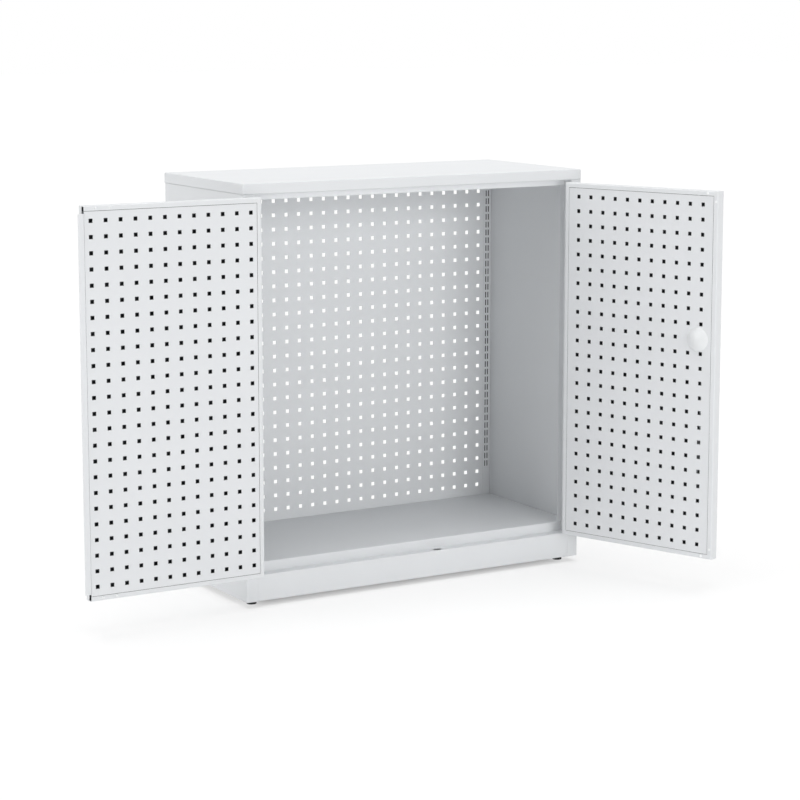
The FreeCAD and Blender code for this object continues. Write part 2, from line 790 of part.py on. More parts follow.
def right_door_nodes():
    """The right door with its lock, shut."""
    nodes = {
        "right_door_skin": right_door_skin(),
        "right_door_panel": door_panel(right_width, right_free_lip + panel_gap, lock=True),
        "right_door_bumpers": right_bumpers(),
        "escutcheon": escutcheon(),
        "escutcheon_nut": escutcheon_nut(),
        "lock_cover": lock_cover(),
        "upper_rod_guide": rod_guide(upper_eye(), upper_rod_end()),
        "lower_rod_guide": rod_guide(lower_eye(), lower_rod_end()),
        "handle_grip": handle_grip(),
        "handle_spindle": handle_spindle(),
        "lock_cam": lock_cam(),
        "lock_plug": lock_plug(),
        "upper_rod": lock_rod(upper_eye(), upper_rod_end()),
        "lower_rod": lock_rod(lower_eye(), lower_rod_end()),
    }
    for name, z in hinge_heights().items():
        nodes[f"right_{name}_door_knuckle"] = door_knuckle(z)
    return nodes


def foot_nodes():
    """The feet at their upper stop."""
    nodes = {}
    for name, (x, y) in foot_places().items():
        nodes[f"{name}_foot_pad"] = foot_pad(x, y)
        nodes[f"{name}_foot_stud"] = foot_stud(x, y)
    return nodes


def main():
    """Builds every node at rest and writes it."""
    os.makedirs("parts", exist_ok=True)
    nodes = carcass_nodes()
    nodes.update({name: left_at_rest(shape) for name, shape in left_door_nodes().items()})
    nodes.update({name: right_at_rest(shape) for name, shape in right_door_nodes().items()})
    nodes.update(foot_nodes())
    for name, shape in nodes.items():
        shape.exportStep(f"parts/{name}.step")
        print(f"{name}: {len(shape.Solids)} solid, {shape.Volume / 1000:.1f} cm3, valid {shape.isValid()}")


main()
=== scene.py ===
# %% [markdown]
# # A workshop cabinet with perforated doors
# The cabinet is folded sheet steel with a pale grey powder coat. Its doors and back are lined with
# sheets of square hook holes. The CAD model already holds every fold, hole and hinge at its real
# size, so this lesson keeps those pieces and gives each one its finish. It remodels only the few moulded
# and cast pieces whose soft forms matter: the turn handle, the lock cover, the feet and the bumper dots.

# %% Load the cabinet
import json
import math

import bmesh
import bpy
from mathutils import Matrix, Vector


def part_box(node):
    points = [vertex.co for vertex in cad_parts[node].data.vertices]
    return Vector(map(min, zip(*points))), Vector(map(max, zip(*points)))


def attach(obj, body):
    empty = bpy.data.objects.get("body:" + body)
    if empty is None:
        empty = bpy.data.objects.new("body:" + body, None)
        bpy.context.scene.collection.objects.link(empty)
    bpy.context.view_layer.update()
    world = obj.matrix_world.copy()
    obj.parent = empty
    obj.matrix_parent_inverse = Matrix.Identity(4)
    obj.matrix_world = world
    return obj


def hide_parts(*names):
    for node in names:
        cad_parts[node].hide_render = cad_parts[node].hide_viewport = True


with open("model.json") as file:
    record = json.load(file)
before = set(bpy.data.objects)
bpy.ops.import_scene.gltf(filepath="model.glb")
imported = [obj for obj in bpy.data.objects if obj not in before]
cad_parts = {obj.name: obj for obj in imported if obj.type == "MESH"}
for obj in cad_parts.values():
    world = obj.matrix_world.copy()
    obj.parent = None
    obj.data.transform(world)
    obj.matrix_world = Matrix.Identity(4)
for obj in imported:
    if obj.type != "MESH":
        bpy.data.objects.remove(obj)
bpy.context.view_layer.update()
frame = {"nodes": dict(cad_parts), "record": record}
nodes = frame["nodes"]
record = frame["record"]
joints = {joint["name"]: joint for joint in record["behaviour"]["joints"]}
MM = 0.001

# %% [markdown]
# ## Where the lock sits
# The right door stands open, so its lock isn't square to the axes. The handle's joint gives a point on
# the door's outer face and the direction that points out of it. With the upright direction, that makes a
# small frame for the lock: x along the door towards its hinges, y up, z out of the door. A second frame,
# turned about y, does the same for the door's inner face.

# %% Frame of the lock
out = Vector(joints["handle_turn"]["axis"]).normalized()
up = Vector((0, 0, 1))
along = up.cross(out)
lock = Matrix((along, up, out)).transposed().to_4x4()
lock.translation = Vector(joints["handle_turn"]["pos_m"])
DOOR_THICKNESS = 27 * MM
LOCK_BACKSET = 53 * MM
inside = lock @ Matrix.Translation((0, 0, -DOOR_THICKNESS)) @ Matrix.Rotation(math.pi, 4, "Y")
print("lock at", [round(v, 4) for v in lock.translation], "facing", [round(v, 3) for v in out])

# %% [markdown]
# ## Colour and shader helpers
# Colours are written as the hex values a paint chart would give. Blender's shaders want linear light,
# so one function converts them. A second function adds a shader node, sets its values and links it, which
# keeps each material readable as a short list of layers.

# %% Helpers for colours and nodes
def paint(hex_code):
    """Linear RGBA for an sRGB hex colour."""
    channels = [int(hex_code[i:i + 2], 16) / 255 for i in (1, 3, 5)]
    return [c / 12.92 if c <= 0.04045 else ((c + 0.055) / 1.055) ** 2.4 for c in channels] + [1.0]


def add_node(tree, kind, inputs, **settings):
    """A node of the given kind, with its settings, and its sockets set or linked."""
    node = tree.nodes.new(kind)
    for name, value in settings.items():
        setattr(node, name, value)
    for socket, value in inputs.items():
        if isinstance(value, bpy.types.NodeSocket):
            tree.links.new(value, node.inputs[socket])
        else:
            node.inputs[socket].default_value = value
    return node


def new_material(name):
    """An empty node material, with its tree."""
    material = bpy.data.materials.new(name)
    material.use_nodes = True
    material.node_tree.nodes.clear()
    return material, material.node_tree


def waves_per_metre(size_mm):
    """Noise scale for features of the given size."""
    return 1 / (size_mm * MM)


finishes = {}

# %% [markdown]
# ## Painted shade in closed hollows
# Little light gets into the closed box of a door or behind a slotted upright, so the hook holes of the doors
# and the bracket slots look nearly black. That shade is painted into the coat's colour: dark grey inside the
# doors and near black behind the uprights. Separate black sheets would do it too, but would add pieces that
# the cabinet doesn't have. Each hollow is a box in the cabinet's own frame, so a mask made from Object
# coordinates finds it. The boxes reach a little into the sheet, so that they take in its inner face, and at
# the narrow slots nearly to its outer face, so that the painted shade covers their cut edges too.

# %% Find the hollows
INTO_SHEET = 1.1 * MM
FROM_FACE = 0.2 * MM
# Painted shade: the colours of the hollows stand in for the shade inside them.
DOOR_HOLLOW_PAINTED_SHADE = "#55585B"
UPRIGHT_HOLLOW_PAINTED_SHADE = "#0C0D0E"
RIGHT_DOOR_WIDTH = 467 * MM
low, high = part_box("left_door_skin")
inset = Vector((INTO_SHEET, INTO_SHEET, INTO_SHEET))
hollows = [((low + high) / 2, 0, (high - low) / 2 - inset, DOOR_HOLLOW_PAINTED_SHADE)]
middle = lock @ Vector((
    RIGHT_DOOR_WIDTH / 2 - LOCK_BACKSET, (low.z + high.z) / 2 - lock.translation.z, -DOOR_THICKNESS / 2))
half = Vector((RIGHT_DOOR_WIDTH, DOOR_THICKNESS, high.z - low.z)) / 2 - inset
hollows.append((middle, math.degrees(math.atan2(along.y, along.x)), half, DOOR_HOLLOW_PAINTED_SHADE))
for side in ("left", "right"):
    low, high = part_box(f"{side}_slotted_upright")
    low.y += INTO_SHEET + FROM_FACE
    half = (high - low) / 2 + Vector((-INTO_SHEET, INTO_SHEET, 0))
    hollows.append(((low + high) / 2, 0, half, UPRIGHT_HOLLOW_PAINTED_SHADE))
print("hollows:", [[round(v, 3) for v in half * 2] for _, _, half, _ in hollows])


def hollow_mask(tree, position, centre, turn_deg, half):
    """A socket that is 1 inside a box with the given centre, turn about Z and half size, and 0 outside."""
    turn_back = Matrix.Rotation(math.radians(-turn_deg), 3, "Z")
    local = add_node(tree, "ShaderNodeMapping", {
        "Vector": position, "Rotation": (0, 0, math.radians(-turn_deg)), "Location": -(turn_back @ centre)})
    away = add_node(tree, "ShaderNodeVectorMath", {0: local.outputs["Vector"]}, operation="ABSOLUTE")
    over = add_node(
        tree, "ShaderNodeVectorMath", {0: away.outputs["Vector"], 1: half}, operation="SUBTRACT")
    axes = add_node(tree, "ShaderNodeSeparateXYZ", {"Vector": over.outputs["Vector"]})
    most = add_node(
        tree, "ShaderNodeMath", {0: axes.outputs["X"], 1: axes.outputs["Y"]}, operation="MAXIMUM")
    most = add_node(
        tree, "ShaderNodeMath", {0: most.outputs[0], 1: axes.outputs["Z"]}, operation="MAXIMUM")
    within = add_node(tree, "ShaderNodeMath", {0: most.outputs[0], 1: 0.0}, operation="LESS_THAN")
    return within.outputs[0]


# %% [markdown]
# ## Powder coat
# Polyester powder is sprayed on dry and baked, so the film flows into a fine orange peel. It is a satin
# paint, neither chalky nor glossy. The peel is a low bump, and a broad, faint change in tone and gloss stands
# for the film's uneven thickness. The real peel is 1 to 2 mm and would vanish at this viewing distance, so
# it is drawn at 4 mm.

# %% Powder coat material
PEEL_MM = 4
PEEL_HEIGHT = 0.12 * MM
FILM_PATCH_MM = 180
coat, tree = new_material("pale_grey_powder_coat")
place = add_node(tree, "ShaderNodeTexCoord", {})
film = add_node(tree, "ShaderNodeTexNoise", {
    "Vector": place.outputs["Object"], "Scale": waves_per_metre(FILM_PATCH_MM), "Detail": 2.0,
    "Roughness": 0.5})
tone = add_node(tree, "ShaderNodeMix", {
    "Factor": film.outputs["Fac"], "A": paint("#D9DBDD"), "B": paint("#DDDFE1")}, data_type="RGBA")
colour = tone
# Painted shade: inside each hollow the coat's colour is darkened to stand for the shade there.
for centre, turn_deg, half, shade in hollows:
    mask = hollow_mask(tree, place.outputs["Object"], centre, turn_deg, half)
    colour = add_node(tree, "ShaderNodeMix", {
        "Factor": mask, "A": colour.outputs["Result"], "B": paint(shade)}, data_type="RGBA")
gloss = add_node(tree, "ShaderNodeMapRange", {
    "Value": film.outputs["Fac"], "From Min": 0.3, "From Max": 0.7, "To Min": 0.40, "To Max": 0.50})
peel = add_node(tree, "ShaderNodeTexNoise", {
    "Vector": place.outputs["Object"], "Scale": waves_per_metre(PEEL_MM), "Detail": 1.0, "Roughness": 0.4})
wave = add_node(tree, "ShaderNodeBump", {
    "Height": peel.outputs["Fac"], "Strength": 0.08, "Distance": PEEL_HEIGHT})
shader = add_node(tree, "ShaderNodeBsdfPrincipled", {
    "Base Color": colour.outputs["Result"], "Roughness": gloss.outputs["Result"],
    "Normal": wave.outputs["Normal"], "IOR": 1.5})
add_node(tree, "ShaderNodeOutputMaterial", {"Surface": shader.outputs["BSDF"]})
finishes["powder_coat"] = coat
print("powder coat: peel", PEEL_MM, "mm, film patches", FILM_PATCH_MM, "mm")

# %% [markdown]
# ## Zinc-plated steel
# The rods, pins, studs and bolts are bright zinc over drawn steel. Plating leaves a cool grey metal with
# small patches of different gloss, the crystals of the zinc. A cell pattern about 3 mm across drives the
# roughness, and the metal keeps its own colour.

# %% Zinc material
ZINC_CELL_MM = 3
zinc, tree = new_material("zinc_plated_steel")
place = add_node(tree, "ShaderNodeTexCoord", {})
cells = add_node(tree, "ShaderNodeTexVoronoi", {
    "Vector": place.outputs["Object"], "Scale": waves_per_metre(ZINC_CELL_MM)})
tone = add_node(tree, "ShaderNodeMix", {
    "Factor": cells.outputs["Distance"], "A": paint("#C3C7CB"), "B": paint("#AEB3B8")}, data_type="RGBA")
gloss = add_node(tree, "ShaderNodeMapRange", {
    "Value": cells.outputs["Distance"], "To Min": 0.28, "To Max": 0.45})
shader = add_node(tree, "ShaderNodeBsdfPrincipled", {
    "Base Color": tone.outputs["Result"], "Roughness": gloss.outputs["Result"], "Metallic": 1.0})
add_node(tree, "ShaderNodeOutputMaterial", {"Surface": shader.outputs["BSDF"]})
finishes["zinc_steel"] = zinc
print("zinc: cells", ZINC_CELL_MM, "mm")

# %% [markdown]
# ## Black pieces
# The handle and its escutcheon are zinc castings with a fine-textured black coating, and the feet are
# moulded polyamide. Both are near black with a fine grain. The coating is a little glossier, and the
# plastic is greyer and duller where the mould was spark-eroded.

# %% Black coating and black polyamide
def grained_black(name, dark, light, grain_mm, dullest, glossiest, depth_mm):
    """A near-black finish with a fine raised grain."""
    material, tree = new_material(name)
    place = add_node(tree, "ShaderNodeTexCoord", {})
    grain = add_node(tree, "ShaderNodeTexNoise", {
        "Vector": place.outputs["Object"], "Scale": waves_per_metre(grain_mm), "Detail": 3.0,
        "Roughness": 0.6})
    tone = add_node(tree, "ShaderNodeMix", {
        "Factor": grain.outputs["Fac"], "A": paint(dark), "B": paint(light)}, data_type="RGBA")
    gloss = add_node(tree, "ShaderNodeMapRange", {
        "Value": grain.outputs["Fac"], "To Min": glossiest, "To Max": dullest})
    bump = add_node(tree, "ShaderNodeBump", {
        "Height": grain.outputs["Fac"], "Strength": 0.3, "Distance": depth_mm * MM})
    shader = add_node(tree, "ShaderNodeBsdfPrincipled", {
        "Base Color": tone.outputs["Result"], "Roughness": gloss.outputs["Result"],
        "Normal": bump.outputs["Normal"], "IOR": 1.5})
    add_node(tree, "ShaderNodeOutputMaterial", {"Surface": shader.outputs["BSDF"]})
    return material


finishes["black_coated_metal"] = grained_black(
    "black_coated_zinc_casting", "#1C1D1F", "#26282A", grain_mm=1.2, dullest=0.55, glossiest=0.4, depth_mm=0.1)
finishes["black_plastic"] = grained_black(
    "black_moulded_polyamide", "#161718", "#222426", grain_mm=0.8, dullest=0.7, glossiest=0.55, depth_mm=0.08)
print("black finishes:", [finishes[slot].name for slot in ("black_coated_metal", "black_plastic")])

# %% [markdown]
# ## Pale plastic
# The domed lock cover is moulded ABS in the cabinet's own grey, a touch lighter and glossier than the
# paint. Plastic that flows into a mould leaves faint waves, so a slow, bent noise changes its tone and gloss.

# %% Pale plastic material
FLOW_MM = 14
plastic, tree = new_material("pale_moulded_abs")
place = add_node(tree, "ShaderNodeTexCoord", {})
flow = add_node(tree, "ShaderNodeTexNoise", {
    "Vector": place.outputs["Object"], "Scale": waves_per_metre(FLOW_MM), "Detail": 1.0, "Distortion": 0.6})
tone = add_node(tree, "ShaderNodeMix", {
    "Factor": flow.outputs["Fac"], "A": paint("#DDDFE0"), "B": paint("#E1E3E4")}, data_type="RGBA")
gloss = add_node(tree, "ShaderNodeMapRange", {"Value": flow.outputs["Fac"], "To Min": 0.26, "To Max": 0.36})
shader = add_node(tree, "ShaderNodeBsdfPrincipled", {
    "Base Color": tone.outputs["Result"], "Roughness": gloss.outputs["Result"], "IOR": 1.53})
add_node(tree, "ShaderNodeOutputMaterial", {"Surface": shader.outputs["BSDF"]})
finishes["pale_plastic"] = plastic
print("pale plastic: flow waves", FLOW_MM, "mm")

# %% [markdown]
# ## Chrome
# The lock plug is chromed brass, turned on a lathe, so fine rings round its axis break up the highlights. A
# wave texture draws rings, once a Mapping node has brought the lock's own frame to the origin. Real tool
# marks are about 0.1 mm apart, too fine to show, so they are drawn at 0.9 mm.

# %% Chrome material
TURNING_MM = 0.9
WAVE_PERIOD = math.tau / 20  # units after which Blender's wave texture repeats
chrome, tree = new_material("turned_chrome")
place = add_node(tree, "ShaderNodeTexCoord", {})
on_plug = add_node(tree, "ShaderNodeMapping", {
    "Vector": place.outputs["Object"], "Rotation": lock.inverted().to_euler(),
    "Location": lock.inverted().translation})
rings = add_node(tree, "ShaderNodeTexWave", {
    "Vector": on_plug.outputs["Vector"], "Scale": WAVE_PERIOD * waves_per_metre(TURNING_MM),
    "Distortion": 0.4}, wave_type="RINGS", rings_direction="Z")
gloss = add_node(tree, "ShaderNodeMapRange", {
    "Value": rings.outputs["Fac"], "To Min": 0.08, "To Max": 0.22})
shader = add_node(tree, "ShaderNodeBsdfPrincipled", {
    "Base Color": paint("#D3D5D8"), "Roughness": gloss.outputs["Result"], "Metallic": 1.0})
add_node(tree, "ShaderNodeOutputMaterial", {"Surface": shader.outputs["BSDF"]})
finishes["chrome"] = chrome
print("chrome: rings", TURNING_MM, "mm apart")

# %% [markdown]
# ## Painted highlight on the right door's dots
# The right door's bumper dots are glossy drops of polyurethane, of the same kind as the left door's. Their
# colour is drawn near white, lighter than the left door's dots, as a painted highlight where they catch the
# light, with a fine haze in the tone. Light does go into such a drop, but at 7 mm across a plain glossy
# surface looks the same.

# %% Painted highlight material for the right door's dots
HAZE_MM = 2
painted_highlight_white, tree = new_material("polyurethane_painted_highlight")
place = add_node(tree, "ShaderNodeTexCoord", {})
haze = add_node(tree, "ShaderNodeTexNoise", {
    "Vector": place.outputs["Object"], "Scale": waves_per_metre(HAZE_MM), "Detail": 1.0})
# Painted highlight: the dots' colour is drawn near white.
tone = add_node(tree, "ShaderNodeMix", {
    "Factor": haze.outputs["Fac"], "A": paint("#EAECED"), "B": paint("#F3F4F5")}, data_type="RGBA")
gloss = add_node(tree, "ShaderNodeMapRange", {"Value": haze.outputs["Fac"], "To Min": 0.12, "To Max": 0.22})
shader = add_node(tree, "ShaderNodeBsdfPrincipled", {
    "Base Color": tone.outputs["Result"], "Roughness": gloss.outputs["Result"], "IOR": 1.5})
add_node(tree, "ShaderNodeOutputMaterial", {"Surface": shader.outputs["BSDF"]})
print("milky polyurethane: haze", HAZE_MM, "mm")

# %% [markdown]
# ## Dress the CAD pieces
# The record says which finish each piece has. A CAD piece keeps its mesh, and only its material slots
# change.

# %% Give each CAD piece its finish
for entry in record["subparts"]:
    mesh = nodes[entry["node"]].data
    mesh.materials.clear()
    mesh.materials.append(finishes[entry["material_slot"]])
print(f"dressed {len(record['subparts'])} CAD pieces")

# %% [markdown]
# ## Modelling helpers
# New pieces are modelled flat at the origin, where sizes are easy to read, and are then moved
# into place with their transform applied. In edit mode, faces and edges are picked by where they lie
# or which way they face, as a modeller would click them.

# %% Helpers for modelling
NEAR = 0.1 * MM  # how close counts as lying on a face
SMOOTH_BELOW = 35  # degrees


def start(name):
    """Names the primitive that was just added."""
    piece = bpy.context.active_object
    piece.name = name
    piece.data.name = name
    return piece


def only(piece):
    """Makes one object the sole selection."""
    bpy.ops.object.select_all(action="DESELECT")
    piece.select_set(True)
    bpy.context.view_layer.objects.active = piece


def pick(piece, kind, chosen):
    """In edit mode, selects the faces or edges for which chosen is true."""
    bpy.ops.mesh.select_mode(type=kind)
    bpy.ops.mesh.select_all(action="DESELECT")
    cage = bmesh.from_edit_mesh(piece.data)
    cage.normal_update()
    for part in (cage.faces if kind == "FACE" else cage.edges):
        if chosen(part):
            part.select_set(True)
    bmesh.update_edit_mesh(piece.data)


def settle(piece, place=Matrix.Identity(4)):
    """Moves a piece into place and applies the move, so that the object sits at the origin."""
    only(piece)
    piece.matrix_world = place @ piece.matrix_world
    bpy.ops.object.transform_apply(location=True, rotation=True, scale=True)


def apply_modifier(piece, kind, **settings):
    """Adds a modifier, sets it and applies it."""
    only(piece)
    bpy.ops.object.modifier_add(type=kind)
    modifier = piece.modifiers[-1]
    for name, value in settings.items():
        setattr(modifier, name, value)
    bpy.ops.object.modifier_apply(modifier=modifier.name)


def round_edges(piece, width, segments, sharper_than=40):
    """Rounds the edges that turn by more than the given angle."""
    apply_modifier(piece, "BEVEL", width=width, segments=segments, limit_method="ANGLE",
                   angle_limit=math.radians(sharper_than))


def combine(piece, other, operation):
    """Joins or cuts a piece with another solid, which is then removed."""
    apply_modifier(piece, "BOOLEAN", operation=operation, object=other, solver="EXACT")
    bpy.data.objects.remove(other, do_unlink=True)


def finish_piece(piece, slot, body, *replaced):
    """Smooths, dresses and mounts a finished piece."""
    only(piece)
    bpy.ops.object.shade_smooth_by_angle(angle=math.radians(SMOOTH_BELOW))
    piece.data.materials.clear()
    piece.data.materials.append(finishes[slot])
    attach(piece, body)
    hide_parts(*replaced)
    print(f"{piece.name}: {len(piece.data.polygons)} faces, rides on {body}")


bpy.ops.object.select_all(action="DESELECT")

# %% [markdown]
# ## Lock cover
# A shallow dome on the door's lining hides the back of the lock. It is a cap of a sphere. A profile could be
# spun, but a ball with its pole at the top of the dome is rounder: one cut keeps the cap, and a wall
# thickness makes it a moulding. The rim is rounded where the mould parts.

# %% Model the lock cover
COVER_RADIUS = 31 * MM
COVER_HEIGHT = 14 * MM
COVER_WALL = 2 * MM
COVER_RIM = 0.5 * MM
ball = (COVER_RADIUS ** 2 + COVER_HEIGHT ** 2) / (2 * COVER_HEIGHT)
bpy.ops.mesh.primitive_uv_sphere_add(
    segments=64, ring_count=64, radius=ball, location=(0, 0, COVER_HEIGHT - ball))
cover = start("lock_cover_dome")
settle(cover)
bpy.ops.object.mode_set(mode="EDIT")
bpy.ops.mesh.select_all(action="SELECT")
bpy.ops.mesh.bisect(plane_co=(0, 0, 0), plane_no=(0, 0, 1), clear_inner=True)
bpy.ops.object.mode_set(mode="OBJECT")
apply_modifier(cover, "SOLIDIFY", thickness=COVER_WALL, offset=-1, use_even_offset=True)
round_edges(cover, COVER_RIM, segments=3, sharper_than=50)
settle(cover, inside)
finish_piece(cover, "pale_plastic", "right_door", "lock_cover")

# %% [markdown]
# ## Turn handle
# The handle is one casting: a round hub with a bar across it that the fingers hold. The bar starts
# as a block, gets two cuts near the hub so that only its ends taper, and is rounded at the ends and along
# its edges. The hub flares where it meets the escutcheon. Joined as solids, the two make one skin, and
# a last cut opens the hole for the lock plug. The bar is modelled flat and stands upright when it is placed.

# %% Model the handle's bar
HUB_BACK = 5.3 * MM
HUB_FRONT = HUB_BACK + 32 * MM
BAR = (84 * MM, 15 * MM, 14 * MM)
TAPER_FROM = 19 * MM
TAPER = (1, 0.76, 0.82)
END_ROUND = 5 * MM
EDGE_ROUND = 2.6 * MM
bpy.ops.mesh.primitive_cube_add(size=1, location=(0, 0, HUB_FRONT - BAR[2] / 2), scale=BAR)
handle = start("turn_handle")
settle(handle)
bpy.ops.object.mode_set(mode="EDIT")
for x in (-TAPER_FROM, TAPER_FROM):
    bpy.ops.mesh.select_all(action="SELECT")
    bpy.ops.mesh.bisect(plane_co=(x, 0, 0), plane_no=(1, 0, 0))
end_x = BAR[0] / 2 - NEAR
for side in (-1, 1):
    pick(handle, "FACE", lambda f: side * f.calc_center_median().x > end_x)
    bpy.ops.transform.resize(value=TAPER)


def corner_of_end(edge):
    """True for the four edges at the bar's ends that run from front to back."""
    one, other = (v.co for v in edge.verts)
    return min(abs(one.x), abs(other.x)) > end_x and abs(one.y - other.y) < 1e-6


pick(handle, "EDGE", corner_of_end)
bpy.ops.mesh.bevel(offset=END_ROUND, segments=6, affect="EDGES")
bpy.ops.object.mode_set(mode="OBJECT")
round_edges(handle, EDGE_ROUND, segments=4)
print("bar:", [round(v / MM, 1) for v in handle.dimensions], "mm")

# %% Model the hub and join it
HUB_RADIUS = 15 * MM
FLARE_HEIGHT = 7 * MM
FLARE = 1.14
HUB_EDGE = 1.6 * MM
PLUG_HOLE_RADIUS = 8.6 * MM
PLUG_HOLE_DEPTH = 18 * MM
bpy.ops.mesh.primitive_cylinder_add(vertices=64, radius=HUB_RADIUS, depth=HUB_FRONT - HUB_BACK,
                                    location=(0, 0, (HUB_FRONT + HUB_BACK) / 2))
hub = start("handle_hub")
settle(hub)
bpy.ops.object.mode_set(mode="EDIT")
bpy.ops.mesh.select_all(action="SELECT")
bpy.ops.mesh.bisect(plane_co=(0, 0, HUB_BACK + FLARE_HEIGHT), plane_no=(0, 0, 1))
pick(hub, "FACE", lambda f: f.normal.z < -0.9)
bpy.ops.transform.resize(value=(FLARE, FLARE, 1))
pick(hub, "EDGE", lambda e: all(v.co.z > HUB_FRONT - NEAR for v in e.verts))
bpy.ops.mesh.bevel(offset=HUB_EDGE, segments=4, affect="EDGES")
bpy.ops.object.mode_set(mode="OBJECT")
combine(handle, hub, "UNION")
bpy.ops.mesh.primitive_cylinder_add(
    vertices=64, radius=PLUG_HOLE_RADIUS, depth=2 * PLUG_HOLE_DEPTH, location=(0, 0, HUB_FRONT))
combine(handle, start("plug_hole"), "DIFFERENCE")
settle(handle, lock @ Matrix.Rotation(math.pi / 2, 4, "Z"))
finish_piece(handle, "black_coated_metal", "handle", "handle_grip")

# %% [markdown]
# ## Levelling feet
# Each foot is a moulded disc with gripping ribs round its edge and a hexagon above it for a spanner. One
# foot is modelled: a short cylinder, with every second pair of its side faces pressed in to leave ribs, and
# a hexagonal prism joined on top. Four copies, each with a mesh of its own, make the set, and the model is
# removed.

# %% Model one foot
FOOT_RADIUS = 12.5 * MM
DISC_HEIGHT = 8.5 * MM
FOOT_HEIGHT = 14.7 * MM
HEXAGON_RADIUS = 9.8 * MM
HEXAGON_FROM = 2 * MM
TOP_ROUND = 1.8 * MM
BOTTOM_ROUND = 0.6 * MM
HEXAGON_EDGE = 0.6 * MM
GROOVE_EDGE = 0.25 * MM
GROOVE_DEPTH = 0.6 * MM
SIDES = 48
bpy.ops.mesh.primitive_cylinder_add(
    vertices=SIDES, radius=FOOT_RADIUS, depth=DISC_HEIGHT, location=(0, 0, DISC_HEIGHT / 2))
foot = start("levelling_foot")
settle(foot)
bpy.ops.object.mode_set(mode="EDIT")
pick(foot, "EDGE", lambda e: all(v.co.z > DISC_HEIGHT - NEAR for v in e.verts))
bpy.ops.mesh.bevel(offset=TOP_ROUND, segments=3, affect="EDGES")
pick(foot, "EDGE", lambda e: all(v.co.z < NEAR for v in e.verts))
bpy.ops.mesh.bevel(offset=BOTTOM_ROUND, segments=2, affect="EDGES")


def in_groove(face):
    """True for every second pair of the disc's side faces."""
    middle = face.calc_center_median()
    step = math.atan2(middle.y, middle.x) / (2 * math.pi) * SIDES
    return abs(face.normal.z) < 0.1 and int(step % SIDES) // 2 % 2 == 0


pick(foot, "FACE", in_groove)
bpy.ops.mesh.inset(thickness=GROOVE_EDGE, depth=-GROOVE_DEPTH)
bpy.ops.object.mode_set(mode="OBJECT")
bpy.ops.mesh.primitive_cylinder_add(
    vertices=6, radius=HEXAGON_RADIUS, depth=FOOT_HEIGHT - HEXAGON_FROM,
    location=(0, 0, (FOOT_HEIGHT + HEXAGON_FROM) / 2))
hexagon = start("foot_hexagon")
settle(hexagon)
round_edges(hexagon, HEXAGON_EDGE, segments=2)
combine(foot, hexagon, "UNION")
print("foot:", [round(v / MM, 1) for v in foot.dimensions], "mm")

# %% Copy the foot to the four corners
for corner in ("front_left", "front_right", "rear_left", "rear_right"):
    copy = foot.copy()
    copy.data = foot.data.copy()
    copy.name = copy.data.name = f"{corner}_levelling_foot"
    bpy.context.collection.objects.link(copy)
    low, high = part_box(f"{corner}_foot_pad")
    settle(copy, Matrix.Translation(((low.x + high.x) / 2, (low.y + high.y) / 2, 0)))
    finish_piece(copy, "black_plastic", f"{corner}_foot", f"{corner}_foot_pad")
bpy.data.objects.remove(foot, do_unlink=True)

# %% [markdown]
# ## Bumper dots
# Small soft dots on the doors' lips keep steel from striking steel. Each is a drop with a domed top: a short
# cylinder whose top edge is rounded by more than half its height. The left door's dots sit on its top and
# bottom lips. The right door has two more on its free edge, which are thinner because they meet the other
# door's strip. In the photograph the right door's dots stand out white and the left door's hardly show, so
# only the right ones are drawn near white, as a painted highlight.

# %% Helper for dots
DOT_RADIUS = 3.5 * MM


def dots(name, spots):
    """Domed dots joined into one piece: each spot is a matrix on the lip and a height."""
    made = []
    for place, height in spots:
        bpy.ops.mesh.primitive_cylinder_add(
            vertices=32, radius=DOT_RADIUS, depth=height, location=(0, 0, height / 2))
        dot = start(name)
        settle(dot)
        bpy.ops.object.mode_set(mode="EDIT")
        pick(dot, "EDGE", lambda e: all(v.co.z > height - NEAR for v in e.verts))
        bpy.ops.mesh.bevel(offset=0.6 * height, segments=5, affect="EDGES")
        bpy.ops.object.mode_set(mode="OBJECT")
        settle(dot, place)
        made.append(dot)
    only(made[0])
    for dot in made[1:]:
        dot.select_set(True)
    bpy.ops.object.join()
    return made[0]


# %% Dots of the left door
low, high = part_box("left_door_bumpers")
face_front = Matrix.Rotation(math.pi / 2, 4, "X")
left_spots = [(Matrix.Translation((x, high.y, z)) @ face_front, high.y - low.y)
              for x in (low.x + DOT_RADIUS, high.x - DOT_RADIUS)
              for z in (low.z + DOT_RADIUS, high.z - DOT_RADIUS)]
left_dots = dots("left_bumper_dots", left_spots)
finish_piece(left_dots, "pale_plastic", "left_door", "left_door_bumpers")

# %% Dots of the right door
# Distance from the free edge, from the outermost dot's height, and height of the dot. In the inside frame,
# +x points towards the door's free edge.
ON_LIPS = (31 * MM, 0, 2.5 * MM)
ON_FREE_EDGE = (6.25 * MM, 20.15 * MM, 0.9 * MM)
low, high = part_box("right_door_bumpers")
lock_height = lock.translation.z
right_spots = []
for edge, from_corner, height in (ON_LIPS, ON_FREE_EDGE):
    for z in (low.z + DOT_RADIUS + from_corner, high.z - DOT_RADIUS - from_corner):
        right_spots.append((inside @ Matrix.Translation((LOCK_BACKSET - edge, z - lock_height, 0)), height))
right_dots = dots("right_bumper_dots", right_spots)
finish_piece(right_dots, "pale_plastic", "right_door", "right_door_bumpers")
# Painted highlight: the right door's dots are drawn whiter than the left door's.
right_dots.data.materials[0] = painted_highlight_white

# %% [markdown]
# ## Floor
# The cabinet was photographed on white, with a faint shadow under the doors and a darker line under the
# plinth. A pale matt floor takes the shadow. To the camera, and in reflections, it also glows a little, which
# lifts it to white without more light on the cabinet. Under the plinth the glow fades out over 100 mm inside
# its outline. That is a painted shade, which deepens the floor's real shadow there, also where it is seen
# through the rod's hole.

